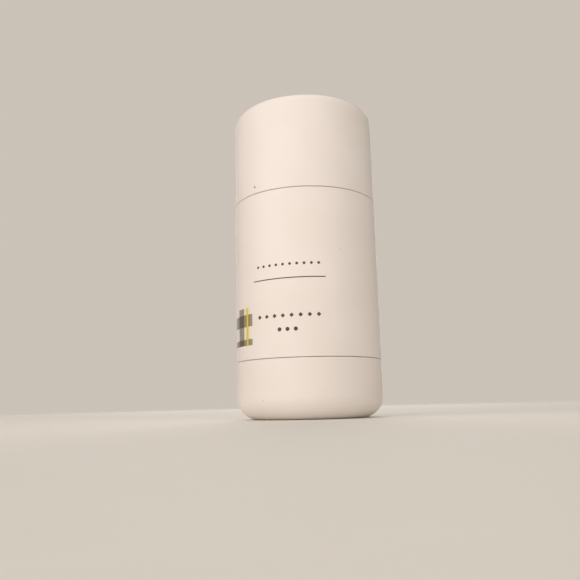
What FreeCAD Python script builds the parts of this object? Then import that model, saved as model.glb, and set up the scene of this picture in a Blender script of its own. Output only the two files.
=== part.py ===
import FreeCAD, Part
import os
import Sketcher

# A round twist-up deodorant stick that stands on its dial, with the cap on.
# Z is up, the origin is the centre of the foot, and lengths are in millimetres.
# Turning the dial turns the spindle, whose left-hand thread lifts the elevator and the stick on it.
# The stick is worn to about a third and half raised, so it can still move both ways under the cap.

VECTOR = FreeCAD.Vector
FULL_TURN = 360

SIZES = {
    # Outside heights, from the foot up
    "dial_height": 19.3,
    "sleeve_height": 55.45,
    "cap_height": 33.45,
    "seam_gap": 0.15,
    # How far a rib, tooth or boss runs into the wall it stands on
    "fuse_depth": 0.4,
    # The inner barrel sets every radius round it
    "barrel_radius": 23.15,
    "barrel_wall": 1.4,
    "barrel_floor": 1.6,
    "floor_drop": 7.3,
    "neck_height": 12.1,
    "neck_chamfer": 0.4,
    "skirt_depth": 2.0,
    "skirt_chamfer": 0.3,
    "flange_width": 1.2,
    "flange_thickness": 1.2,
    # Keys inside the barrel, which stop the elevator turning
    "key_width": 1.6,
    "key_depth": 1.0,
    "key_top_margin": 2.0,
    "key_count": 4,
    # Sleeve with the printed face
    "sleeve_wall": 1.9,
    "sleeve_clearance": 0.05,
    # The cap and the dial stand this far off the barrel
    "shell_clearance": 0.25,
    "rim_chamfer": 0.15,
    # Cap
    "cap_wall": 1.6,
    "cap_top": 1.8,
    "cap_edge_round": 3.35,
    "grip_clearance": 0.05,
    "grip_width": 0.8,
    "grip_length": 9.0,
    "grip_start": 1.5,
    "grip_count": 8,
    "stop_depth": 1.4,
    "stop_width": 1.2,
    "stop_count": 6,
    # Dial
    "dial_wall": 1.6,
    "dial_floor": 1.8,
    "dial_edge_round": 7.1,
    "foot_recess": 0.6,
    "foot_ring_width": 3.4,
    "turning_gap": 0.3,
    "hub_radius": 6.0,
    "socket_floor": 1.0,
    "web_width": 1.2,
    "web_clearance": 1.5,
    "web_end_gap": 0.5,
    "web_count": 4,
    "snap_depth": 0.55,
    "snap_height": 1.0,
    "snap_clearance": 0.25,
    # Spindle
    "thread_core_radius": 2.7,
    "thread_radius": 3.7,
    "thread_lead": 6.0,
    "thread_root_width": 2.6,
    "thread_crest_width": 1.4,
    "thread_start": 2.4,
    "spindle_top_margin": 2.7,
    "spindle_tip_chamfer": 0.8,
    "collar_radius": 7.0,
    "collar_thickness": 1.4,
    "journal_radius": 4.2,
    "journal_clearance": 0.05,
    "drive_flat_radius": 3.0,
    "drive_clearance": 0.05,
    "drive_end_gap": 0.4,
    # Seal under the spindle's collar
    "seal_inset": 0.4,
    "seal_thickness": 0.8,
    # Elevator
    "platform_drop": 16.1,
    "platform_thickness": 1.6,
    "elevator_clearance": 0.35,
    "wiper_wall": 1.2,
    "wiper_depth": 6.0,
    "nut_radius": 6.2,
    "nut_length": 8.0,
    "nut_clearance": 0.25,
    "crown_inset": 8.2,
    "crown_wall": 1.2,
    "crown_height": 5.0,
    "crown_slot_width": 4.0,
    "crown_slot_count": 4,
    "port_radius": 2.2,
    "port_inset": 4.4,
    "port_count": 8,
    # Stick
    "stick_height": 19.5,
    "stick_shoulder_drop": 4.0,
    "stick_dome_radius": 60.0,
    "stick_edge_round": 3.0,
    "stick_bore_clearance": 0.4,
    "stick_crown_clearance": 0.05,
}


class Length:
    """A size that carries its value and the spreadsheet formula that gives it."""

    def __init__(self, value, formula):
        self.value = value
        self.formula = formula

    def _joined(self, other, sign, value):
        return Length(value, f"({self.formula} {sign} {formula_of(other)})")

    def __add__(self, other):
        return self._joined(other, "+", self.value + value_of(other))

    def __sub__(self, other):
        return self._joined(other, "-", self.value - value_of(other))

    def __mul__(self, other):
        return self._joined(other, "*", self.value * value_of(other))

    def __truediv__(self, other):
        return self._joined(other, "/", self.value / value_of(other))

    def __neg__(self):
        return Length(-self.value, f"(0 - {self.formula})")


def value_of(size):
    return size.value if isinstance(size, Length) else size


def formula_of(size):
    return size.formula if isinstance(size, Length) else str(size)


def make_sheet(document):
    """Writes the driving sizes to a spreadsheet and returns them by name."""
    sheet = document.addObject("Spreadsheet::Sheet", "Sizes")
    named = {}
    for row, (alias, number) in enumerate(SIZES.items(), start=1):
        sheet.set(f"A{row}", alias)
        sheet.set(f"B{row}", str(number))
        sheet.setAlias(f"B{row}", alias)
        named[alias] = Length(number, f"Sizes.{alias}")
    document.recompute()
    return named


# Helpers for bodies, sketches and features


def make_body(document, label):
    body = document.addObject("PartDesign::Body", label)
    body.Label = label
    return body


def origin_part(body, role):
    return next(f for f in body.Origin.OriginFeatures if f.Role == role)


def make_sketch(body, name, plane, height=None):
    """A sketch on one of the body's own planes, raised by height along that plane's normal."""
    sketch = body.newObject("Sketcher::SketchObject", name)
    sketch.AttachmentSupport = [(origin_part(body, plane), "")]
    sketch.MapMode = "FlatFace"
    if height is not None:
        sketch.setExpression("AttachmentOffset.Base.z", formula_of(height))
    return sketch


def place_point(sketch, index, across, up):
    """Fixes the start point of a sketch line by its distances from the sketch's origin."""
    for kind, axis, distance in (("DistanceX", -2, across), ("DistanceY", -1, up)):
        if isinstance(distance, Length):
            datum = Sketcher.Constraint(kind, -1, 1, index, 1, distance.value)
            number = sketch.addConstraint(datum)
            sketch.setExpression(f"Constraints[{number}]", distance.formula)
        else:
            sketch.addConstraint(Sketcher.Constraint("PointOnObject", index, 1, axis))


def bowed_side(start, end, radius):
    """An arc from start to end that turns left, as an outline does round its inside."""
    middle = (start + end) / 2
    half = (end - start) / 2
    inward = VECTOR(-half.y, half.x, 0).normalize()
    centre = middle + inward * (radius**2 - half.Length**2) ** 0.5
    crown = centre - inward * radius
    return Part.Arc(start, crown, end)


def draw_outline(sketch, points, bowed=None, radius=None):
    """A closed outline through points, each fixed by its two distances.

    Its sides are straight, except that the side numbered bowed is an arc of this radius.
    """
    corners = [VECTOR(value_of(across), value_of(up), 0) for across, up in points]
    count = len(points)
    for index in range(count):
        start = corners[index]
        end = corners[(index + 1) % count]
        if index == bowed:
            side = bowed_side(start, end, radius.value)
        else:
            side = Part.LineSegment(start, end)
        sketch.addGeometry(side, False)
    for index in range(count):
        following = (index + 1) % count
        sketch.addConstraint(Sketcher.Constraint("Coincident", index, 2, following, 1))
    for index, (across, up) in enumerate(points):
        place_point(sketch, index, across, up)
    if bowed is not None:
        number = sketch.addConstraint(Sketcher.Constraint("Radius", bowed, radius.value))
        sketch.setExpression(f"Constraints[{number}]", radius.formula)


def turn(body, name, outline, bowed=None, radius=None):
    """Adds a solid turned about Z from an outline of (radius, height) points."""
    sketch = make_sketch(body, f"{name}_profile", "XZ_Plane")
    draw_outline(sketch, outline, bowed, radius)
    feature = body.newObject("PartDesign::Revolution", name)
    feature.Profile = sketch
    feature.ReferenceAxis = (sketch, ["V_Axis"])
    feature.Angle = FULL_TURN
    body.Document.recompute()
    return feature


def turn_groove(body, name, outline):
    """Cuts a groove turned about Z from an outline of (radius, height) points."""
    sketch = make_sketch(body, f"{name}_profile", "XZ_Plane")
    draw_outline(sketch, outline)
    feature = body.newObject("PartDesign::Groove", name)
    feature.Profile = sketch
    feature.ReferenceAxis = (sketch, ["V_Axis"])
    feature.Angle = FULL_TURN
    body.Document.recompute()
    return feature


def raise_sketch(body, name, sketch, length, kind="PartDesign::Pad"):
    """Pads a sketch upwards, or pockets it downwards, by length."""
    feature = body.newObject(kind, name)
    feature.Profile = sketch
    feature.setExpression("Length", formula_of(length))
    body.Document.recompute()
    return feature


def repeat_round(body, feature, count):
    """Repeats a feature about Z, count times in a full turn."""
    pattern = body.newObject("PartDesign::PolarPattern", f"{feature.Name}_ring")
    pattern.Originals = [feature]
    pattern.Axis = (origin_part(body, "Z_Axis"), [""])
    pattern.Angle = FULL_TURN
    pattern.setExpression("Occurrences", formula_of(count))
    body.Tip = pattern
    body.Document.recompute()
    return pattern


def bar_outline(inner, outer, width):
    """A radial bar on the X side, from inner to outer radius, seen from above."""
    half = width / 2
    return [(inner, -half), (outer, -half), (outer, half), (inner, half)]


def ring_edges(shape, radius, height):
    """The names of the circular edges about Z with this radius at this height."""
    names = []
    for number, edge in enumerate(shape.Edges, start=1):
        curve = edge.Curve
        if not isinstance(curve, Part.Circle):
            continue
        near_radius = abs(curve.Radius - value_of(radius)) < 0.001
        near_height = abs(curve.Center.z - value_of(height)) < 0.001
        if near_radius and near_height:
            names.append(f"Edge{number}")
    return names


def soften(body, name, kind, rings, amount):
    """Rounds or bevels the rings, given as (radius, height), by amount."""
    base = body.Tip
    names = [edge for radius, height in rings for edge in ring_edges(base.Shape, radius, height)]
    feature = body.newObject(f"PartDesign::{kind}", name)
    feature.Base = (base, names)
    feature.setExpression("Radius" if kind == "Fillet" else "Size", formula_of(amount))
    body.Document.recompute()
    return feature


def hexagon_outline(flat_radius):
    """A hexagon's corners, with its flats at flat_radius from the centre."""
    corner = flat_radius * 2 / 3**0.5
    half = corner / 2
    return [
        (corner, 0),
        (half, flat_radius),
        (-half, flat_radius),
        (-corner, 0),
        (-half, -flat_radius),
        (half, -flat_radius),
    ]


def cut_thread(body, name, kind, tooth, lead, length):
    """Adds or cuts a left-hand helical tooth whose section is an outline in the XZ plane."""
    sketch = make_sketch(body, f"{name}_tooth", "XZ_Plane")
    draw_outline(sketch, tooth)
    body.Document.recompute()
    helix = body.newObject(f"PartDesign::{kind}", name)
    helix.Profile = sketch
    helix.ReferenceAxis = (sketch, ["V_Axis"])
    helix.Mode = "pitch-height-angle"
    helix.setExpression("Pitch", formula_of(lead))
    helix.setExpression("Height", formula_of(length))
    helix.LeftHanded = True
    body.Document.recompute()
    return helix


def draw_circle(sketch, across, radius):
    """One circle on the sketch's X axis, at a distance across from its origin."""
    circle = Part.Circle(VECTOR(across.value, 0, 0), VECTOR(0, 0, 1), radius.value)
    sketch.addGeometry(circle, False)
    number = sketch.addConstraint(Sketcher.Constraint("Radius", 0, radius.value))
    sketch.setExpression(f"Constraints[{number}]", radius.formula)
    number = sketch.addConstraint(Sketcher.Constraint("DistanceX", -1, 1, 0, 3, across.value))
    sketch.setExpression(f"Constraints[{number}]", across.formula)
    sketch.addConstraint(Sketcher.Constraint("PointOnObject", 0, 3, -1))


# Places that more than one piece shares


class Layout:
    """Radii and heights where pieces meet, each worked out from the driving sizes."""

    def __init__(self, s):
        self.barrel_bore = s["barrel_radius"] - s["barrel_wall"]
        self.key_inner = self.barrel_bore - s["key_depth"]
        self.journal_hole = s["journal_radius"] + s["journal_clearance"]
        self.sleeve_foot = s["dial_height"] + s["seam_gap"]
        self.sleeve_top = self.sleeve_foot + s["sleeve_height"]
        self.sleeve_bore = s["barrel_radius"] + s["sleeve_clearance"]
        self.sleeve_radius = self.sleeve_bore + s["sleeve_wall"]
        self.rim = self.sleeve_top + s["neck_height"]
        self.floor_under = s["dial_height"] - s["floor_drop"]
        self.floor_top = self.floor_under + s["barrel_floor"]
        self.skirt_foot = self.floor_under - s["skirt_depth"]
        self.flange_radius = s["barrel_radius"] + s["flange_width"]
        self.flange_top = self.sleeve_foot + s["flange_thickness"]
        self.shell_bore = s["barrel_radius"] + s["shell_clearance"]
        self.cap_radius = self.shell_bore + s["cap_wall"]
        self.cap_foot = self.sleeve_top + s["seam_gap"]
        self.cap_summit = self.cap_foot + s["cap_height"]
        self.cap_ceiling = self.cap_summit - s["cap_top"]
        self.dial_radius = self.shell_bore + s["dial_wall"]
        self.dial_inside = s["foot_recess"] + s["dial_floor"]
        self.hub_top = self.floor_under - s["turning_gap"]
        self.socket_foot = self.dial_inside + s["socket_floor"]
        self.snap_middle = self.floor_under + s["snap_height"]
        self.collar_under = self.floor_top + s["seal_thickness"]
        self.collar_top = self.collar_under + s["collar_thickness"]
        self.thread_foot = self.collar_top + s["thread_start"]
        self.spindle_top = self.rim - s["spindle_top_margin"]
        self.elevator_radius = self.barrel_bore - s["elevator_clearance"]
        self.notch_inner = self.key_inner - s["elevator_clearance"]
        self.notch_width = s["key_width"] + s["elevator_clearance"] * 2
        self.platform_top = self.rim - s["platform_drop"]
        self.platform_under = self.platform_top - s["platform_thickness"]
        self.nut_foot = self.platform_under - s["nut_length"]
        self.crown_outer = self.elevator_radius - s["crown_inset"]
        self.crown_inner = self.crown_outer - s["crown_wall"]
        self.port_circle = self.elevator_radius - s["port_inset"]


# Pieces


def make_inner_barrel(document, s, at):
    """The barrel that holds the stick: wall, neck, floor, keys and the bead that holds the dial."""
    body = make_body(document, "inner_barrel")
    outer = s["barrel_radius"]
    turn(
        body,
        "barrel_wall",
        [
            (at.journal_hole, at.floor_under),
            (at.barrel_bore, at.floor_under),
            (at.barrel_bore, at.skirt_foot),
            (outer, at.skirt_foot),
            (outer, at.sleeve_foot),
            (at.flange_radius, at.sleeve_foot),
            (at.flange_radius, at.flange_top),
            (outer, at.flange_top),
            (outer, at.rim),
            (at.barrel_bore, at.rim),
            (at.barrel_bore, at.floor_top),
            (at.journal_hole, at.floor_top),
        ],
    )
    crest = outer + s["snap_depth"]
    half = s["snap_height"] / 2
    root = outer - s["fuse_depth"]
    turn(
        body,
        "snap_bead",
        [
            (root, at.snap_middle - s["snap_height"]),
            (outer, at.snap_middle - s["snap_height"]),
            (crest, at.snap_middle),
            (crest, at.snap_middle + half),
            (root, at.snap_middle + half),
        ],
    )
    key_sketch = make_sketch(body, "key_section", "XY_Plane", at.floor_under)
    in_wall = at.barrel_bore + s["fuse_depth"]
    draw_outline(key_sketch, bar_outline(at.key_inner, in_wall, s["key_width"]))
    key_length = at.rim - s["key_top_margin"] - at.floor_under
    key = raise_sketch(body, "key", key_sketch, key_length)
    repeat_round(body, key, s["key_count"])
    soften(body, "neck_edge", "Chamfer", [(outer, at.rim)], s["neck_chamfer"])
    soften(body, "skirt_edge", "Chamfer", [(outer, at.skirt_foot)], s["skirt_chamfer"])
    return body


def make_outer_sleeve(document, s, at):
    """The printed sleeve pressed over the barrel, with a rebate that hides the barrel's flange."""
    body = make_body(document, "outer_sleeve")
    rebate = at.flange_radius + s["sleeve_clearance"]
    top = at.sleeve_top
    turn(
        body,
        "sleeve_wall",
        [
            (rebate, at.sleeve_foot),
            (at.sleeve_radius, at.sleeve_foot),
            (at.sleeve_radius, top),
            (at.sleeve_bore, top),
            (at.sleeve_bore, at.flange_top),
            (rebate, at.flange_top),
        ],
    )
    rims = [(at.sleeve_radius, at.sleeve_foot), (at.sleeve_radius, top)]
    soften(body, "sleeve_edges", "Chamfer", rims, s["rim_chamfer"])
    return body


def make_cap(document, s, at):
    """The push-on cap: a rounded cup with grip ribs for the neck and stop ribs that sit on the rim."""
    body = make_body(document, "cap")
    turn(
        body,
        "cap_wall",
        [
            (at.shell_bore, at.cap_foot),
            (at.cap_radius, at.cap_foot),
            (at.cap_radius, at.cap_summit),
            (0, at.cap_summit),
            (0, at.cap_ceiling),
            (at.shell_bore, at.cap_ceiling),
        ],
    )
    inner_round = s["cap_edge_round"] - s["cap_wall"]
    soften(body, "cap_edge", "Fillet", [(at.cap_radius, at.cap_summit)], s["cap_edge_round"])
    soften(body, "cap_inner_edge", "Fillet", [(at.shell_bore, at.cap_ceiling)], inner_round)
    soften(body, "cap_rim", "Chamfer", [(at.cap_radius, at.cap_foot)], s["rim_chamfer"])
    in_wall = at.shell_bore + s["fuse_depth"]
    grip_inner = s["barrel_radius"] + s["grip_clearance"]
    grip_foot = at.cap_foot + s["grip_start"]
    grip_sketch = make_sketch(body, "grip_section", "XY_Plane", grip_foot)
    draw_outline(grip_sketch, bar_outline(grip_inner, in_wall, s["grip_width"]))
    grip = raise_sketch(body, "grip", grip_sketch, s["grip_length"])
    repeat_round(body, grip, s["grip_count"])
    stop_inner = at.shell_bore - s["stop_depth"]
    stop_sketch = make_sketch(body, "stop_section", "XY_Plane", at.rim)
    draw_outline(stop_sketch, bar_outline(stop_inner, in_wall, s["stop_width"]))
    stop_length = at.cap_ceiling + s["fuse_depth"] - at.rim
    stop = raise_sketch(body, "stop", stop_sketch, stop_length)
    repeat_round(body, stop, s["stop_count"])
    return body


def make_dial(document, s, at):
    """The dial the user turns: a rounded cup with a drive hub, webs and a groove for the snap bead."""
    body = make_body(document, "dial")
    top = s["dial_height"]
    recess_radius = at.dial_radius - s["dial_edge_round"] - s["foot_ring_width"]
    turn(
        body,
        "dial_wall",
        [
            (0, s["foot_recess"]),
            (recess_radius, s["foot_recess"]),
            (recess_radius, 0),
            (at.dial_radius, 0),
            (at.dial_radius, top),
            (at.shell_bore, top),
            (at.shell_bore, at.dial_inside),
            (s["hub_radius"], at.dial_inside),
            (s["hub_radius"], at.hub_top),
            (0, at.hub_top),
        ],
    )
    soften(body, "dial_edge", "Fillet", [(at.dial_radius, 0)], s["dial_edge_round"])
    inner_round = s["dial_edge_round"] - s["dial_wall"]
    soften(body, "dial_inner_edge", "Fillet", [(at.shell_bore, at.dial_inside)], inner_round)
    soften(body, "dial_rim", "Chamfer", [(at.dial_radius, top)], s["rim_chamfer"])
    foot = at.snap_middle - s["snap_height"] - s["snap_clearance"]
    head = at.snap_middle + s["snap_height"] / 2 + s["snap_clearance"]
    groove_radius = s["barrel_radius"] + s["snap_depth"] + s["snap_clearance"]
    turn_groove(
        body,
        "snap_groove",
        [
            (s["barrel_radius"], foot),
            (groove_radius, foot),
            (groove_radius, head),
            (s["barrel_radius"], head),
        ],
    )
    in_floor = at.dial_inside - s["fuse_depth"]
    web_sketch = make_sketch(body, "web_section", "XY_Plane", in_floor)
    in_hub = s["hub_radius"] - s["fuse_depth"]
    web_end = at.shell_bore - inner_round - s["web_end_gap"]
    draw_outline(web_sketch, bar_outline(in_hub, web_end, s["web_width"]))
    web_length = at.skirt_foot - s["web_clearance"] - in_floor
    web = raise_sketch(body, "web", web_sketch, web_length)
    repeat_round(body, web, s["web_count"])
    socket_sketch = make_sketch(body, "socket_section", "XY_Plane", at.hub_top)
    draw_outline(socket_sketch, hexagon_outline(s["drive_flat_radius"] + s["drive_clearance"]))
    socket_depth = at.hub_top - at.socket_foot
    raise_sketch(body, "socket", socket_sketch, socket_depth, "PartDesign::Pocket")
    return body


def make_spindle(document, s, at):
    """The lead screw: a collar on the barrel's floor, a journal through it and a six-sided drive."""
    body = make_body(document, "spindle")
    turn(
        body,
        "spindle_core",
        [
            (0, at.hub_top),
            (s["journal_radius"], at.hub_top),
            (s["journal_radius"], at.collar_under),
            (s["collar_radius"], at.collar_under),
            (s["collar_radius"], at.collar_top),
            (s["thread_core_radius"], at.collar_top),
            (s["thread_core_radius"], at.spindle_top - s["spindle_tip_chamfer"]),
            (s["thread_core_radius"] - s["spindle_tip_chamfer"], at.spindle_top),
            (0, at.spindle_top),
        ],
    )
    drive_foot = at.socket_foot + s["drive_end_gap"]
    drive_sketch = make_sketch(body, "drive_section", "XY_Plane", drive_foot)
    draw_outline(drive_sketch, hexagon_outline(s["drive_flat_radius"]))
    raise_sketch(body, "drive", drive_sketch, at.hub_top + s["fuse_depth"] - drive_foot)
    thread_head = at.spindle_top - s["spindle_tip_chamfer"] - s["thread_root_width"]
    tooth = tooth_outline(s, at.thread_foot, 0)
    cut_thread(body, "thread", "AdditiveHelix", tooth, s["thread_lead"], thread_head - at.thread_foot)
    return body


def tooth_outline(s, middle, clearance):
    """A thread tooth's section, from inside the core out to the crest, with sloping flanks."""
    half_root = s["thread_root_width"] / 2 + clearance
    half_crest = s["thread_crest_width"] / 2 + clearance
    buried = s["thread_core_radius"] - s["fuse_depth"] + clearance
    crest = s["thread_radius"] + clearance
    return [
        (buried, middle - half_root),
        (crest, middle - half_crest),
        (crest, middle + half_crest),
        (buried, middle + half_root),
    ]


def make_spindle_seal(document, s, at):
    """The flat ring between the spindle's collar and the barrel's floor."""
    body = make_body(document, "spindle_seal")
    seal_radius = s["collar_radius"] - s["seal_inset"]
    turn(
        body,
        "seal_ring",
        [
            (at.journal_hole, at.floor_top),
            (seal_radius, at.floor_top),
            (seal_radius, at.collar_under),
            (at.journal_hole, at.collar_under),
        ],
    )
    return body


def make_elevator(document, s, at):
    """The platform that lifts the stick: wiper rim, threaded nut, crown, ports and key notches."""
    body = make_body(document, "elevator")
    wiper_inner = at.elevator_radius - s["wiper_wall"]
    wiper_foot = at.platform_under - s["wiper_depth"]
    bore = s["thread_core_radius"] + s["nut_clearance"]
    turn(
        body,
        "platform",
        [
            (bore, at.nut_foot),
            (s["nut_radius"], at.nut_foot),
            (s["nut_radius"], at.platform_under),
            (wiper_inner, at.platform_under),
            (wiper_inner, wiper_foot),
            (at.elevator_radius, wiper_foot),
            (at.elevator_radius, at.platform_top),
            (bore, at.platform_top),
        ],
    )
    crown_foot = at.platform_top - s["fuse_depth"]
    crown_top = at.platform_top + s["crown_height"]
    turn(
        body,
        "crown",
        [
            (at.crown_inner, crown_foot),
            (at.crown_outer, crown_foot),
            (at.crown_outer, crown_top),
            (at.crown_inner, crown_top),
        ],
    )
    slot_sketch = make_sketch(body, "crown_slot_section", "XY_Plane", crown_top)
    slot_inner = at.crown_inner - s["crown_wall"]
    slot_outer = at.crown_outer + s["crown_wall"]
    draw_outline(slot_sketch, bar_outline(slot_inner, slot_outer, s["crown_slot_width"]))
    slot = raise_sketch(body, "crown_slot", slot_sketch, s["crown_height"], "PartDesign::Pocket")
    repeat_round(body, slot, s["crown_slot_count"])
    port_sketch = make_sketch(body, "port_section", "XY_Plane", at.platform_top)
    draw_circle(port_sketch, at.port_circle, s["port_radius"])
    port_depth = s["platform_thickness"]
    port = raise_sketch(body, "port", port_sketch, port_depth, "PartDesign::Pocket")
    repeat_round(body, port, s["port_count"])
    notch_all_round(body, s, at, at.platform_top, at.platform_top - wiper_foot)
    tooth_height = tooth_below_nut(s, at)
    tooth = tooth_outline(s, tooth_height, s["nut_clearance"])
    thread_length = at.platform_top - tooth_height + s["thread_lead"]
    cut_thread(body, "nut_thread", "SubtractiveHelix", tooth, s["thread_lead"], thread_length)
    return body


def notch_all_round(body, s, at, top, depth):
    """Cuts the notches that the barrel's keys run in, from top down."""
    sketch = make_sketch(body, "notch_section", "XY_Plane", top)
    outside = at.elevator_radius + s["key_depth"]
    draw_outline(sketch, bar_outline(at.notch_inner, outside, at.notch_width))
    notch = raise_sketch(body, "notch", sketch, depth, "PartDesign::Pocket")
    repeat_round(body, notch, s["key_count"])


def tooth_below_nut(s, at):
    """The height on the X side of a tooth of the spindle, one lead or more below the nut."""
    whole_leads = int((at.nut_foot.value - at.thread_foot.value) // s["thread_lead"].value)
    return at.thread_foot + s["thread_lead"] * (whole_leads - 1)


def make_stick(document, s, at):
    """The worn stick: a low dome cast round the crown, ports, keys and spindle."""
    body = make_body(document, "stick")
    bore = s["thread_radius"] + s["stick_bore_clearance"]
    top = at.platform_top + s["stick_height"]
    shoulder = top - s["stick_shoulder_drop"]
    turn(
        body,
        "stick_block",
        [
            (bore, at.platform_top),
            (at.elevator_radius, at.platform_top),
            (at.elevator_radius, shoulder),
            (bore, top),
        ],
        bowed=2,
        radius=s["stick_dome_radius"],
    )
    soften(body, "worn_edge", "Fillet", [(at.elevator_radius, shoulder)], s["stick_edge_round"])
    gap = s["stick_crown_clearance"]
    channel_top = at.platform_top + s["crown_height"] + gap
    turn_groove(
        body,
        "crown_channel",
        [
            (at.crown_inner - gap, at.platform_top),
            (at.crown_outer + gap, at.platform_top),
            (at.crown_outer + gap, channel_top),
            (at.crown_inner - gap, channel_top),
        ],
    )
    plug_sketch = make_sketch(body, "plug_section", "XY_Plane", at.platform_under)
    draw_circle(plug_sketch, at.port_circle, s["port_radius"] - gap)
    plug = raise_sketch(body, "plug", plug_sketch, s["platform_thickness"] + s["fuse_depth"])
    repeat_round(body, plug, s["port_count"])
    notch_all_round(body, s, at, top, s["stick_height"])
    return body


# Checks and output


def check_document(document):
    """Stops on any object that failed to rebuild."""
    for item in document.Objects:
        if "Invalid" in item.State or "Error" in item.State:
            raise RuntimeError(f"{item.Name} failed: {item.State}")


def check_piece(body):
    """Stops on a piece whose shape isn't one valid solid."""
    shape = body.Shape
    if shape.isNull() or not shape.isValid() or len(shape.Solids) != 1:
        raise RuntimeError(f"{body.Label} isn't one valid solid")


def main():
    document = FreeCAD.newDocument("deodorant_stick")
    sizes = make_sheet(document)
    layout = Layout(sizes)
    makers = (
        make_inner_barrel,
        make_outer_sleeve,
        make_cap,
        make_dial,
        make_spindle,
        make_spindle_seal,
        make_elevator,
        make_stick,
    )
    pieces = [maker(document, sizes, layout) for maker in makers]
    document.recompute()
    check_document(document)
    for piece in pieces:
        check_piece(piece)
    os.makedirs("parts", exist_ok=True)
    for piece in pieces:
        piece.Shape.exportStep(f"parts/{piece.Label}.step")
        print(f"{piece.Label}: {piece.Shape.Volume:.1f} mm3")


main()
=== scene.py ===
import math

import bpy
from bpy.props import FloatProperty, FloatVectorProperty, PointerProperty
from mathutils import Matrix, Vector


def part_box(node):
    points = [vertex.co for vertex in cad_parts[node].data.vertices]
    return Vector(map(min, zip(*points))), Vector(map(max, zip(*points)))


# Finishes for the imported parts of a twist-up deodorant stick, and the stage it stands on.
# Lengths are in metres. Angles round the wall are counted from the front, -Y, towards +X.

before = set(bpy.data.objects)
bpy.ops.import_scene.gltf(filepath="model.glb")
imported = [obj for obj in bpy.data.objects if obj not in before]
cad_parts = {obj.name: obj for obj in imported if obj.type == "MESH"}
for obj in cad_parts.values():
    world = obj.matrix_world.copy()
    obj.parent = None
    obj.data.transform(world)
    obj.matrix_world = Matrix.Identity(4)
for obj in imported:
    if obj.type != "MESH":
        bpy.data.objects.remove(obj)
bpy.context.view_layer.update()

bl_info = {
    "name": "Deodorant stick finishes",
    "version": (1, 0, 0),
    "blender": (4, 5, 0),
    "location": "3D View > Sidebar > Stick",
    "description": "Satin shells, printed sleeve, inner mouldings, waxy stick and a plain studio",
    "category": "Object",
}

MM = 0.001

# Heights where two shells meet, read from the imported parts
CAP_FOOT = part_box("cap")[0].z
SLEEVE_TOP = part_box("outer_sleeve")[1].z
SLEEVE_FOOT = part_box("outer_sleeve")[0].z
DIAL_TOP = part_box("dial")[1].z
WALL_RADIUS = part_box("outer_sleeve")[1].x
# How far inside that radius a point still counts as on the outer face
FACE_DEPTH = 0.8 * MM

# Noise scales of the moulded plastics, from coarse to fine
CLOUD_SCALE = 55.0
RIPPLE_SCALE = 260.0
GLOSS_SCALE = 320.0
GRAIN_SCALE = 7000.0
SHELL_IOR = 1.46
INSIDE_IOR = 1.49


def colour_property(name, description, default):
    return FloatVectorProperty(
        name=name, description=description, default=default, subtype="COLOR", size=3, min=0.0, max=1.0
    )


def length_property(name, description, millimetres):
    return FloatProperty(
        name=name, description=description, default=millimetres * MM, subtype="DISTANCE", unit="LENGTH"
    )


def angle_property(name, description, degrees):
    return FloatProperty(
        name=name, description=description, default=math.radians(degrees), subtype="ANGLE", unit="ROTATION"
    )


# Settings that a user would change


class ShellFinish(bpy.types.PropertyGroup):
    plastic: colour_property("Plastic", "Warm white of the cap, sleeve and dial", (0.86, 0.80, 0.745))
    tint: colour_property("Tint", "Tone that the plastic drifts to in soft clouds", (0.835, 0.777, 0.715))
    # Painted on both lips of each seam: partly dust, partly painted shade where the gap between two shells shades
    # them.
    dust_and_shade: colour_property("Grime", "Dust and skin oil caught along the lips", (0.30, 0.225, 0.18))
    speck: colour_property("Speck", "Small dark marks on the walls", (0.22, 0.15, 0.11))
    # How far the painted seam shade and dust spread from a lip.
    lip_reach: length_property("Lip reach", "How far grime creeps from a lip", 0.22)
    grain_depth: length_property("Grain depth", "Depth of the moulded grain", 0.004)


class SleevePrint(bpy.types.PropertyGroup):
    grey: colour_property("Grey ink", "Share of light that the grey ink lets back", (0.385, 0.365, 0.335))
    cream: colour_property("Pale ink", "Share of light that the pale yellow ink lets back", (1.0, 1.0, 0.68))
    yellow: colour_property("Yellow ink", "Share of light that the yellow ink lets back", (0.80, 0.74, 0.32))
    mustard: colour_property("Mustard", "Share let back where a band crosses yellow", (0.92, 0.80, 0.50))
    dark: colour_property("Dark ink", "Marks in rows on the front", (0.055, 0.043, 0.038))
    patch_edge: angle_property("Patch edge", "Right end of the plaid bands", -46.4)
    marks_centre: angle_property("Marks centre", "Middle of the rows of marks", -15.0)
    ink_edge: length_property("Ink edge", "Width over which an ink fades out", 0.09)


class InsideFinish(bpy.types.PropertyGroup):
    moulding: colour_property("Moulding", "Barrel and elevator", (0.80, 0.785, 0.75))
    screw: colour_property("Screw", "Spindle", (0.74, 0.735, 0.72))
    foam: colour_property("Foam", "Seal ring under the spindle's collar", (0.68, 0.68, 0.66))
    wax: colour_property("Wax", "The deodorant itself", (0.84, 0.81, 0.73))


class Studio(bpy.types.PropertyGroup):
    floor: colour_property("Floor", "Plain pale floor", (0.79, 0.765, 0.70))
    backdrop: colour_property("Backdrop", "What the camera sees behind", (0.60, 0.54, 0.475))
    ambient: FloatProperty(name="Ambient", description="Strength of the light from all round", default=0.245)
    key_power: FloatProperty(name="Key", description="Power of the front left lamp", default=12.65, unit="POWER")
    side_power: FloatProperty(name="Side", description="Power of the front right lamp", default=5.75, unit="POWER")
    back_power: FloatProperty(name="Back", description="Power of the lamp behind", default=10.0, unit="POWER")
    top_power: FloatProperty(name="Top", description="Power of the lamp above", default=4.0, unit="POWER")


# Small helpers for node trees


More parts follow.
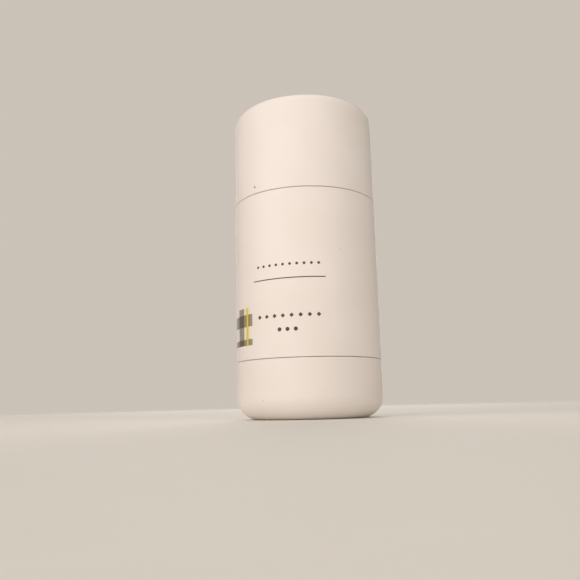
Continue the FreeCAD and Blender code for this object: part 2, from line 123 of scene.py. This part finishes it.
class Wiring:
    """Adds nodes to one tree. An input is given as a value, or as the socket that feeds it."""

    def __init__(self, tree):
        self.tree = tree

    def add(self, kind, inputs=None, **settings):
        node = self.tree.nodes.new(kind)
        for name, value in settings.items():
            setattr(node, name, value)
        for key, value in (inputs or {}).items():
            self.feed(node.inputs[key], value)
        return node

    def feed(self, socket, value):
        if isinstance(value, bpy.types.NodeSocket):
            self.tree.links.new(value, socket)
        else:
            socket.default_value = value

    def calc(self, operation, first, second=0.0, clamp=False):
        node = self.add("ShaderNodeMath", {0: first, 1: second}, operation=operation, use_clamp=clamp)
        return node.outputs[0]

    def ramp(self, value, low, high):
        """0 at low and 1 at high, with soft ends. Low may be the larger."""
        inputs = {"Value": value, "From Min": low, "From Max": high, "To Min": 0.0, "To Max": 1.0}
        return self.add("ShaderNodeMapRange", inputs, interpolation_type="SMOOTHSTEP").outputs[0]

    def spread(self, value, low, high):
        """A 0 to 1 value spread from low to high."""
        inputs = {"Value": value, "From Min": 0.0, "From Max": 1.0, "To Min": low, "To Max": high}
        return self.add("ShaderNodeMapRange", inputs).outputs[0]

    def noise(self, place, scale, detail=2.0, roughness=0.5):
        inputs = {"Vector": place, "Scale": scale, "Detail": detail, "Roughness": roughness}
        return self.add("ShaderNodeTexNoise", inputs).outputs["Fac"]

    def mix(self, mask, under, over, mode="MIX"):
        node = self.add("ShaderNodeMix", {0: mask, 6: under, 7: over}, data_type="RGBA", blend_type=mode)
        return node.outputs[2]

    def split(self, place):
        return self.add("ShaderNodeSeparateXYZ", {"Vector": place}).outputs

    def group(self, tree, inputs):
        node = self.add("ShaderNodeGroup", node_tree=tree)
        for key, value in inputs.items():
            self.feed(node.inputs[key], value)
        return node.outputs


def new_group(name, inputs, outputs):
    """An empty shader group with these sockets, as its wiring, its inputs and its output node."""
    tree = bpy.data.node_groups.new(name, "ShaderNodeTree")
    for direction, sockets in (("INPUT", inputs), ("OUTPUT", outputs)):
        for socket, kind in sockets.items():
            tree.interface.new_socket(name=socket, in_out=direction, socket_type=f"NodeSocket{kind}")
    wiring = Wiring(tree)
    return wiring, wiring.add("NodeGroupInput").outputs, wiring.add("NodeGroupOutput")


def rgba(colour):
    return (*colour, 1.0)


# Effects that several materials share


def wall_place_group():
    """Where a point is on a round wall: its angle from the front and its height.

    Off the outer face the height drops by a metre, so no mark or print falls there.
    """
    w, given, out = new_group("wall_place", {"Place": "Vector"}, {"Angle": "Float", "Height": "Float"})
    x, y, z = w.split(given["Place"])
    front = w.calc("MULTIPLY", y, -1.0)
    w.feed(out.inputs["Angle"], w.calc("ARCTAN2", x, front))
    radius = w.calc("SQRT", w.calc("ADD", w.calc("MULTIPLY", x, x), w.calc("MULTIPLY", y, y)))
    off_face = w.calc("LESS_THAN", radius, WALL_RADIUS - FACE_DEPTH)
    w.feed(out.inputs["Height"], w.calc("SUBTRACT", z, off_face))
    return w.tree


def moulded_group():
    """Tone clouds, uneven gloss and fine grain of a moulded satin plastic."""
    w, given, out = new_group(
        "moulded_plastic",
        {"Place": "Vector", "Tone": "Color", "Drift": "Color", "Smooth": "Float", "Rough": "Float"},
        {"Colour": "Color", "Roughness": "Float", "Height": "Float"},
    )
    place = given["Place"]
    clouds = w.ramp(w.noise(place, CLOUD_SCALE, 3.0), 0.35, 0.7)
    w.feed(out.inputs["Colour"], w.mix(clouds, given["Tone"], given["Drift"]))
    sheen = w.add(
        "ShaderNodeMapRange",
        {"Value": w.noise(place, GLOSS_SCALE, 4.0, 0.6), "From Min": 0.3, "From Max": 0.7},
    )
    w.feed(sheen.inputs["To Min"], given["Smooth"])
    w.feed(sheen.inputs["To Max"], given["Rough"])
    w.feed(out.inputs["Roughness"], sheen.outputs[0])
    grain = w.calc("MULTIPLY", w.noise(place, GRAIN_SCALE, 1.0), 0.6)
    ripple = w.calc("MULTIPLY", w.noise(place, RIPPLE_SCALE, 2.0), 1.4)
    w.feed(out.inputs["Height"], w.calc("ADD", grain, ripple))
    return w.tree


def seam_dust_and_shade_group():
    """Dust and painted shade next to a lip where two shells meet, broken up along it."""
    w, given, out = new_group(
        "seam_dust_and_shade",
        {"Place": "Vector", "Height": "Float", "Lip": "Float", "Reach": "Float", "Amount": "Float"},
        {"Mask": "Float"},
    )
    away = w.calc("ABSOLUTE", w.calc("SUBTRACT", given["Height"], given["Lip"]))
    uneven = w.spread(w.noise(given["Place"], 700.0, 3.0), 0.55, 1.35)
    reach = w.calc("MULTIPLY", given["Reach"], uneven)
    fade = w.calc("SUBTRACT", 1.0, w.calc("DIVIDE", away, reach), clamp=True)
    w.feed(out.inputs["Mask"], w.calc("MULTIPLY", fade, given["Amount"], clamp=True))
    return w.tree


def speck_group():
    """One small mark on a round wall, with a ragged edge."""
    w, given, out = new_group(
        "speck",
        {
            "Place": "Vector",
            "Angle": "Float",
            "Height": "Float",
            "At Angle": "Float",
            "At Height": "Float",
            "Width": "Float",
            "Length": "Float",
            "Lean": "Float",
            "Radius": "Float",
        },
        {"Mask": "Float"},
    )
    turn = w.calc("SUBTRACT", given["Angle"], given["At Angle"])
    rise = w.calc("SUBTRACT", given["Height"], given["At Height"])
    leaning = w.calc("MULTIPLY", rise, given["Lean"])
    along = w.calc("SUBTRACT", w.calc("MULTIPLY", turn, given["Radius"]), leaning)
    across = w.calc("DIVIDE", along, given["Width"])
    up = w.calc("DIVIDE", rise, given["Length"])
    far = w.calc("SQRT", w.calc("ADD", w.calc("MULTIPLY", across, across), w.calc("MULTIPLY", up, up)))
    ragged = w.calc("ADD", far, w.spread(w.noise(given["Place"], 3500.0, 2.0), -0.5, 0.5))
    w.feed(out.inputs["Mask"], w.ramp(ragged, 1.1, 0.45))
    return w.tree


# Print on the sleeve


def ink_patch_group():
    """A printed rectangle wrapped on the wall, between two angles and two heights."""
    w, given, out = new_group(
        "ink_patch",
        {
            "Angle": "Float",
            "Height": "Float",
            "Left": "Float",
            "Right": "Float",
            "Foot": "Float",
            "Top": "Float",
            "Edge": "Float",
            "Radius": "Float",
        },
        {"Mask": "Float"},
    )
    middle = w.calc("MULTIPLY", w.calc("ADD", given["Left"], given["Right"]), 0.5)
    half = w.calc("MULTIPLY", w.calc("SUBTRACT", given["Right"], given["Left"]), 0.5)
    turn = w.calc("ABSOLUTE", w.calc("SUBTRACT", given["Angle"], middle))
    across = w.calc("MULTIPLY", w.calc("SUBTRACT", half, turn), given["Radius"])
    centre = w.calc("MULTIPLY", w.calc("ADD", given["Foot"], given["Top"]), 0.5)
    reach = w.calc("MULTIPLY", w.calc("SUBTRACT", given["Top"], given["Foot"]), 0.5)
    up = w.calc("SUBTRACT", reach, w.calc("ABSOLUTE", w.calc("SUBTRACT", given["Height"], centre)))
    inside = w.calc("DIVIDE", w.calc("MINIMUM", across, up), given["Edge"])
    w.feed(out.inputs["Mask"], w.ramp(inside, -0.5, 0.5))
    return w.tree


def mark_row_group(name, pointed):
    """A row of equal small marks, round or pointed, spaced evenly about a middle angle."""
    w, given, out = new_group(
        name,
        {
            "Angle": "Float",
            "Height": "Float",
            "Middle": "Float",
            "Row": "Float",
            "Step": "Float",
            "Count": "Float",
            "Size": "Float",
            "Edge": "Float",
            "Radius": "Float",
        },
        {"Mask": "Float"},
    )
    turn = w.calc("SUBTRACT", given["Angle"], given["Middle"])
    across = w.calc("MULTIPLY", turn, given["Radius"])
    up = w.calc("ABSOLUTE", w.calc("SUBTRACT", given["Height"], given["Row"]))
    half_row = w.calc("MULTIPLY", w.calc("MULTIPLY", given["Step"], given["Count"]), 0.5)
    along = w.calc("DIVIDE", w.calc("ADD", across, half_row), given["Step"])
    beside = w.calc("ABSOLUTE", w.calc("SUBTRACT", w.calc("FRACT", along), 0.5))
    beside = w.calc("MULTIPLY", beside, given["Step"])
    if pointed:
        far = w.calc("ADD", beside, up)
    else:
        far = w.calc("SQRT", w.calc("ADD", w.calc("MULTIPLY", beside, beside), w.calc("MULTIPLY", up, up)))
    mark = w.ramp(w.calc("DIVIDE", w.calc("SUBTRACT", given["Size"], far), given["Edge"]), -0.5, 0.5)
    in_row = w.calc("LESS_THAN", w.calc("ABSOLUTE", across), half_row)
    w.feed(out.inputs["Mask"], w.calc("MULTIPLY", mark, in_row))
    return w.tree


GROUPS = {}


def shared_groups():
    """Builds each shared effect once and returns them by name."""
    if not GROUPS:
        GROUPS["wall_place"] = wall_place_group()
        GROUPS["moulded"] = moulded_group()
        GROUPS["seam_dust_and_shade"] = seam_dust_and_shade_group()
        GROUPS["speck"] = speck_group()
    return GROUPS


# Materials


def new_material(name):
    """A material with an empty tree, as the material, its wiring, its shader and its object coordinates."""
    material = bpy.data.materials.new(name)
    material.use_nodes = True
    material.node_tree.nodes.clear()
    w = Wiring(material.node_tree)
    shader = w.add("ShaderNodeBsdfPrincipled")
    output = w.add("ShaderNodeOutputMaterial")
    w.feed(output.inputs["Surface"], shader.outputs["BSDF"])
    place = w.add("ShaderNodeTexCoord").outputs["Object"]
    return material, w, shader, place


def add_relief(w, shader, height, depth):
    """Feeds the shader's Normal from a 0 to 1 height, depth metres deep."""
    bump = w.add("ShaderNodeBump", {"Height": height, "Distance": depth, "Strength": 1.0})
    w.feed(shader.inputs["Normal"], bump.outputs["Normal"])


# Small marks that the walls carry: angle in degrees, height, half width and half length in mm, and lean
CAP_SPECKS = ((-41.8, 77.42, 0.44, 0.62, -0.5),)
SLEEVE_SPECKS = ((26.6, 54.2, 0.25, 0.3, 0.0), (-54.5, 41.45, 0.16, 0.2, 0.0))
DIAL_SPECKS = ((-36.4, 6.2, 0.17, 0.24, 0.0),)
# How dark the dust and painted shade are on the lips of the upper and the lower seam, from 0 to 1
UPPER_DUST_AND_SHADE = 0.35
LOWER_DUST_AND_SHADE = 0.03


def shell_material(name, lips, specks, speck_strength, printed=False):
    """Satin warm white plastic with dust and painted shade on its lips and its own small marks."""
    finish = bpy.context.scene.shell_finish
    groups = shared_groups()
    material, w, shader, place = new_material(name)
    at = w.group(groups["wall_place"], {"Place": place})
    angle, height = at["Angle"], at["Height"]
    moulded = w.group(
        groups["moulded"],
        {
            "Place": place,
            "Tone": rgba(finish.plastic),
            "Drift": rgba(finish.tint),
            "Smooth": 0.40,
            "Rough": 0.50,
        },
    )
    colour, roughness = moulded["Colour"], moulded["Roughness"]
    if printed:
        colour, roughness = add_print(w, angle, height, colour, roughness)
    # Each lip gets a darker band: painted shade from the seam's gap, with some dust.
    for lip, amount in lips:
        dust_and_shade = w.group(
            groups["seam_dust_and_shade"],
            {"Place": place, "Height": height, "Lip": lip, "Reach": finish.lip_reach, "Amount": amount},
        )
        colour = w.mix(dust_and_shade["Mask"], colour, rgba(finish.dust_and_shade))
    for degrees, up, half_width, half_length, lean in specks:
        speck = w.group(
            groups["speck"],
            {
                "Place": place,
                "Angle": angle,
                "Height": height,
                "At Angle": math.radians(degrees),
                "At Height": up * MM,
                "Width": half_width * MM,
                "Length": half_length * MM,
                "Lean": lean,
                "Radius": WALL_RADIUS,
            },
        )
        mask = w.calc("MULTIPLY", speck["Mask"], speck_strength)
        colour = w.mix(mask, colour, rgba(finish.speck))
    w.feed(shader.inputs["Base Color"], colour)
    w.feed(shader.inputs["Roughness"], roughness)
    shader.inputs["IOR"].default_value = SHELL_IOR
    add_relief(w, shader, moulded["Height"], finish.grain_depth)
    return material


# Plaid on the left of the sleeve. Upright stripes: left, right in degrees, foot, top in mm
GREY_STRIPES = ((-67.8, -57.8, 24.2, 36.7), (-91.2, -81.2, 24.2, 36.7))
PALE_STRIPES = ((-57.4, -48.8, 23.9, 37.0), (-100.2, -91.6, 23.9, 37.0))
YELLOW_STRIPES = ((-54.35, -51.4, 24.0, 36.6), (-97.6, -94.65, 24.0, 36.6))
# Bands across the stripes: foot and top in mm. A narrow line in each yellow stripe stays clear of them
GREY_BANDS = ((30.4, 34.45), (24.2, 26.25))
CLEAR_LINES = ((-54.0, -51.6), (-97.4, -95.0))
# Where a band crosses yellow the inks look mustard
MUSTARD_CROSSINGS = ((-55.0, -49.4), (-99.6, -94.0))
# Left end of the bands, in degrees
BAND_LEFT = -102.6

# Rows of marks on the front: height and step in mm, count, and half size in mm
UPPER_DOTS = (49.3, 2.35, 10.0, 0.46)
LOZENGES = (32.7, 2.9, 8.0, 0.74)
LOWER_DOTS = (28.3, 2.7, 3.0, 0.66)
# Thin rule under the upper dots: half its turn in degrees, foot and top in mm
RULE_HALF_TURN = 29.0
RULE_FOOT = 44.6
RULE_TOP = 44.95
# How much smoother the ink is than the plastic
INK_GLOSS = 0.08


def add_print(w, angle, height, colour, roughness):
    """Lays the plaid and the rows of marks over the plastic's colour and gloss."""
    inks = bpy.context.scene.sleeve_print
    patch = ink_patch_group()
    dots = mark_row_group("dot_row", pointed=False)
    lozenges = mark_row_group("lozenge_row", pointed=True)
    wall = {"Angle": angle, "Height": height, "Edge": inks.ink_edge, "Radius": WALL_RADIUS}

    def patch_mask(left, right, foot, top):
        sides = {"Left": left, "Right": right, "Foot": foot * MM, "Top": top * MM}
        return w.group(patch, {**wall, **sides})["Mask"]

    def row_mask(tree, row, step, count, size):
        places = {"Middle": inks.marks_centre, "Row": row * MM, "Step": step * MM}
        return w.group(tree, {**wall, **places, "Count": count, "Size": size * MM})["Mask"]

    covered = 0.0
    for stripes, ink in ((PALE_STRIPES, inks.cream), (YELLOW_STRIPES, inks.yellow), (GREY_STRIPES, inks.grey)):
        for left, right, foot, top in stripes:
            mask = patch_mask(math.radians(left), math.radians(right), foot, top)
            colour = w.mix(mask, colour, rgba(ink), "MULTIPLY")
            covered = w.calc("MAXIMUM", covered, mask)
    clear = 0.0
    for left, right in CLEAR_LINES:
        line = patch_mask(math.radians(left), math.radians(right), GREY_BANDS[1][0] - 1, GREY_BANDS[0][1] + 1)
        clear = w.calc("MAXIMUM", clear, line)
    for foot, top in GREY_BANDS:
        band = patch_mask(math.radians(BAND_LEFT), inks.patch_edge, foot, top)
        mask = w.calc("SUBTRACT", band, clear, clamp=True)
        colour = w.mix(mask, colour, rgba(inks.grey), "MULTIPLY")
        covered = w.calc("MAXIMUM", covered, mask)
        for left, right in MUSTARD_CROSSINGS:
            stripe = patch_mask(math.radians(left), math.radians(right), foot, top)
            crossing = w.calc("MULTIPLY", mask, stripe)
            colour = w.mix(crossing, colour, rgba(inks.mustard), "MULTIPLY")
    rule_half = math.radians(RULE_HALF_TURN)
    rows = (
        row_mask(dots, *UPPER_DOTS),
        patch_mask(inks.marks_centre - rule_half, inks.marks_centre + rule_half, RULE_FOOT, RULE_TOP),
        row_mask(lozenges, *LOZENGES),
        row_mask(dots, *LOWER_DOTS),
    )
    for mask in rows:
        colour = w.mix(mask, colour, rgba(inks.dark))
        covered = w.calc("MAXIMUM", covered, mask)
    glossed = w.calc("SUBTRACT", roughness, w.calc("MULTIPLY", covered, INK_GLOSS))
    return colour, glossed


def moulding_material(name, tone, smooth, rough):
    """Plain moulded plastic for the parts inside."""
    material, w, shader, place = new_material(name)
    drift = [channel * 0.965 for channel in tone]
    moulded = w.group(
        shared_groups()["moulded"],
        {"Place": place, "Tone": rgba(tone), "Drift": rgba(drift), "Smooth": smooth, "Rough": rough},
    )
    w.feed(shader.inputs["Base Color"], moulded["Colour"])
    w.feed(shader.inputs["Roughness"], moulded["Roughness"])
    shader.inputs["IOR"].default_value = INSIDE_IOR
    add_relief(w, shader, moulded["Height"], 0.005 * MM)
    return material


def foam_material(tone):
    """Closed-cell foam: fine round pores, sunken, with painted shade in them."""
    material, w, shader, place = new_material("seal_foam_pores")
    cells = w.add("ShaderNodeTexVoronoi", {"Vector": place, "Scale": 4200.0}).outputs["Distance"]
    pore = w.ramp(cells, 0.1, 0.45)
    # The pore centres, sunk by the relief below, are painted darker: painted shade in the pores.
    shade = [channel * 0.72 for channel in tone]
    w.feed(shader.inputs["Base Color"], w.mix(pore, rgba(shade), rgba(tone)))
    w.feed(shader.inputs["Roughness"], w.spread(pore, 0.95, 0.8))
    add_relief(w, shader, pore, 0.05 * MM)
    return material


def wax_material(tone):
    """Soft waxy stick: cloudy tone, drag marks across the worn dome and a slightly greasy gloss."""
    material, w, shader, place = new_material("waxy_stick")
    stretched = w.add("ShaderNodeMapping", {"Vector": place, "Scale": (90.0, 900.0, 900.0)}).outputs[0]
    drags = w.noise(stretched, 1.0, 4.0, 0.6)
    clouds = w.ramp(w.noise(place, 240.0, 3.0), 0.35, 0.7)
    shade = (tone[0] * 0.97, tone[1] * 0.955, tone[2] * 0.92)
    w.feed(shader.inputs["Base Color"], w.mix(clouds, rgba(tone), rgba(shade)))
    w.feed(shader.inputs["Roughness"], w.spread(drags, 0.42, 0.62))
    shader.inputs["Subsurface Weight"].default_value = 0.25
    shader.inputs["Subsurface Radius"].default_value = (1.0, 0.8, 0.55)
    shader.inputs["Subsurface Scale"].default_value = 1.5 * MM
    crumbs = w.noise(place, 1800.0, 2.0)
    add_relief(w, shader, w.calc("ADD", drags, w.calc("MULTIPLY", crumbs, 0.3)), 0.16 * MM)
    return material


def dress(node, material):
    """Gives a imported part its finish."""
    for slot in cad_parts[node].material_slots:
        slot.material = material


# Stage

# The photographed view: level with the foot, close, and tilted up along the wall
CAMERA_PLACE = (0.0, -0.2203, 0.0051)
CAMERA_TILT = math.radians(10.293)
CAMERA_TURN = math.radians(-1.58)
CAMERA_ROLL = math.radians(-1.36)
CAMERA_LENS = 38.86
CAMERA_NEAR = 0.01

# Middle of the object, which every lamp faces
AIM = Vector((0.0, 0.0, 0.055))
# Lamps: azimuth and elevation in degrees, then distance and width
KEY_LAMP = (-46.0, 15.0, 1.2, 1.6)
SIDE_LAMP = (22.0, 15.0, 1.2, 1.2)
BACK_LAMP = (180.0, 14.0, 1.4, 1.0)
TOP_LAMP = (0.0, 90.0, 1.2, 1.2)
LAMP_COLOUR = (1.0, 0.923, 0.898)
AMBIENT_COLOUR = (1.0, 0.95, 0.865)

# Half width of the floor, and the distances from the object where it begins and ends its fade
FLOOR_REACH = 1.5
FADE_START = 0.35
FADE_END = 0.85


def place_camera():
    data = bpy.data.cameras.new("camera")
    data.lens = CAMERA_LENS
    data.clip_start = CAMERA_NEAR
    camera = bpy.data.objects.new("camera", data)
    bpy.context.scene.collection.objects.link(camera)
    turn = Matrix.Rotation(-CAMERA_TURN, 4, "Z")
    tilt = Matrix.Rotation(math.pi / 2 + CAMERA_TILT, 4, "X")
    roll = Matrix.Rotation(CAMERA_ROLL, 4, "Z")
    camera.matrix_world = Matrix.Translation(CAMERA_PLACE) @ turn @ tilt @ roll
    bpy.context.scene.camera = camera


def place_lamp(name, azimuth, elevation, distance, width, power):
    """A square soft lamp that faces the object. Azimuth is counted as on the wall, in degrees."""
    data = bpy.data.lights.new(name, "AREA")
    data.shape = "SQUARE"
    data.size = width
    data.energy = power
    data.color = LAMP_COLOUR
    lamp = bpy.data.objects.new(name, data)
    bpy.context.scene.collection.objects.link(lamp)
    across, up = math.radians(azimuth), math.radians(elevation)
    away = Vector((math.sin(across) * math.cos(up), -math.cos(across) * math.cos(up), math.sin(up)))
    lamp.location = AIM + away * distance
    lamp.rotation_mode = "QUATERNION"
    lamp.rotation_quaternion = away.to_track_quat("Z", "Y")


def floor_material(studio):
    """Matt floor that fades into the backdrop with distance from the object."""
    material, w, shader, place = new_material("studio_floor")
    x, y, _ = w.split(place)
    far = w.calc("SQRT", w.calc("ADD", w.calc("MULTIPLY", x, x), w.calc("MULTIPLY", y, y)))
    w.feed(shader.inputs["Alpha"], w.ramp(far, FADE_END, FADE_START))
    mottle = w.noise(place, 120.0, 4.0)
    dim = [channel * 0.975 for channel in studio.floor]
    w.feed(shader.inputs["Base Color"], w.mix(mottle, rgba(studio.floor), rgba(dim)))
    shader.inputs["Roughness"].default_value = 0.9
    shader.inputs["Specular IOR Level"].default_value = 0.2
    return material


def lay_floor(studio):
    mesh = bpy.data.meshes.new("studio_floor")
    sides = ((-1, -1), (1, -1), (1, 1), (-1, 1))
    corners = [(x * FLOOR_REACH, y * FLOOR_REACH, 0.0) for x, y in sides]
    mesh.from_pydata(corners, [], [(0, 1, 2, 3)])
    mesh.materials.append(floor_material(studio))
    floor = bpy.data.objects.new("studio_floor", mesh)
    bpy.context.scene.collection.objects.link(floor)


def light_world(studio):
    """Even light from all round, and a plain pale backdrop where the camera looks past the object."""
    world = bpy.data.worlds.new("studio_world")
    world.use_nodes = True
    world.node_tree.nodes.clear()
    bpy.context.scene.world = world
    w = Wiring(world.node_tree)
    light = w.add("ShaderNodeBackground", {"Color": rgba(AMBIENT_COLOUR), "Strength": studio.ambient})
    seen = w.add("ShaderNodeBackground", {"Color": rgba(studio.backdrop), "Strength": 1.0})
    camera_ray = w.add("ShaderNodeLightPath").outputs["Is Camera Ray"]
    mixed = w.add("ShaderNodeMixShader", {0: camera_ray, 1: light.outputs[0], 2: seen.outputs[0]})
    w.add("ShaderNodeOutputWorld", {"Surface": mixed.outputs[0]})


# Operators: one for each group of like parts, and one for the stage


class STICK_OT_finish_cap(bpy.types.Operator):
    """Gives the cap its satin plastic, dust and painted shade on its lip, and marks"""

    bl_idname = "stick.finish_cap"
    bl_label = "Finish Cap"

    def execute(self, context):
        dress("cap", shell_material("cap_satin", ((CAP_FOOT, UPPER_DUST_AND_SHADE),), CAP_SPECKS, 0.9))
        return {"FINISHED"}


class STICK_OT_finish_sleeve(bpy.types.Operator):
    """Gives the sleeve its satin plastic, plaid and rows of marks"""

    bl_idname = "stick.finish_sleeve"
    bl_label = "Finish Sleeve"

    def execute(self, context):
        # Both of the sleeve's lips get the dust and painted shade.
        lips = ((SLEEVE_TOP, UPPER_DUST_AND_SHADE), (SLEEVE_FOOT, LOWER_DUST_AND_SHADE))
        dress("outer_sleeve", shell_material("sleeve_printed", lips, SLEEVE_SPECKS, 0.3, printed=True))
        return {"FINISHED"}


class STICK_OT_finish_dial(bpy.types.Operator):
    """Gives the dial its satin plastic, dust and painted shade on its lip, and marks"""

    bl_idname = "stick.finish_dial"
    bl_label = "Finish Dial"

    def execute(self, context):
        dress("dial", shell_material("dial_satin", ((DIAL_TOP, LOWER_DUST_AND_SHADE),), DIAL_SPECKS, 0.6))
        return {"FINISHED"}


class STICK_OT_finish_inside(bpy.types.Operator):
    """Gives the barrel, elevator, spindle and seal their plain mouldings"""

    bl_idname = "stick.finish_inside"
    bl_label = "Finish Inside Parts"

    def execute(self, context):
        finish = context.scene.inside_finish
        dress("inner_barrel", moulding_material("barrel_moulding", finish.moulding, 0.30, 0.42))
        dress("elevator", moulding_material("elevator_moulding", finish.moulding, 0.34, 0.46))
        dress("spindle", moulding_material("spindle_moulding", finish.screw, 0.26, 0.38))
        dress("spindle_seal", foam_material(finish.foam))
        return {"FINISHED"}


class STICK_OT_finish_stick(bpy.types.Operator):
    """Gives the deodorant its waxy worn surface"""

    bl_idname = "stick.finish_stick"
    bl_label = "Finish Stick"

    def execute(self, context):
        dress("stick", wax_material(context.scene.inside_finish.wax))
        return {"FINISHED"}


class STICK_OT_build_stage(bpy.types.Operator):
    """Places the camera, lamps, floor and backdrop"""

    bl_idname = "stick.build_stage"
    bl_label = "Build Stage"

    def execute(self, context):
        studio = context.scene.studio
        place_camera()
        lay_floor(studio)
        light_world(studio)
        place_lamp("key_lamp", *KEY_LAMP, studio.key_power)
        place_lamp("side_lamp", *SIDE_LAMP, studio.side_power)
        place_lamp("back_lamp", *BACK_LAMP, studio.back_power)
        place_lamp("top_lamp", *TOP_LAMP, studio.top_power)
        context.scene.view_settings.view_transform = "Standard"
        return {"FINISHED"}


class STICK_PT_finishes(bpy.types.Panel):
    """Lists the steps that dress the deodorant stick"""

    bl_idname = "STICK_PT_finishes"
    bl_label = "Deodorant Stick"
    bl_space_type = "VIEW_3D"
    bl_region_type = "UI"
    bl_category = "Stick"

    def draw(self, context):
        for operator in OPERATORS:
            self.layout.operator(operator.bl_idname)


SETTINGS = {
    "shell_finish": ShellFinish,
    "sleeve_print": SleevePrint,
    "inside_finish": InsideFinish,
    "studio": Studio,
}
OPERATORS = (
    STICK_OT_finish_cap,
    STICK_OT_finish_sleeve,
    STICK_OT_finish_dial,
    STICK_OT_finish_inside,
    STICK_OT_finish_stick,
    STICK_OT_build_stage,
)
CLASSES = (*SETTINGS.values(), *OPERATORS, STICK_PT_finishes)


def register():
    for kind in CLASSES:
        bpy.utils.register_class(kind)
    for name, kind in SETTINGS.items():
        setattr(bpy.types.Scene, name, PointerProperty(type=kind))


def unregister():
    for name in SETTINGS:
        delattr(bpy.types.Scene, name)
    for kind in reversed(CLASSES):
        bpy.utils.unregister_class(kind)


def main():
    register()
    bpy.ops.stick.finish_cap()
    bpy.ops.stick.finish_sleeve()
    bpy.ops.stick.finish_dial()
    bpy.ops.stick.finish_inside()
    bpy.ops.stick.finish_stick()
    bpy.ops.stick.build_stage()


if __name__ == "__main__":
    main()
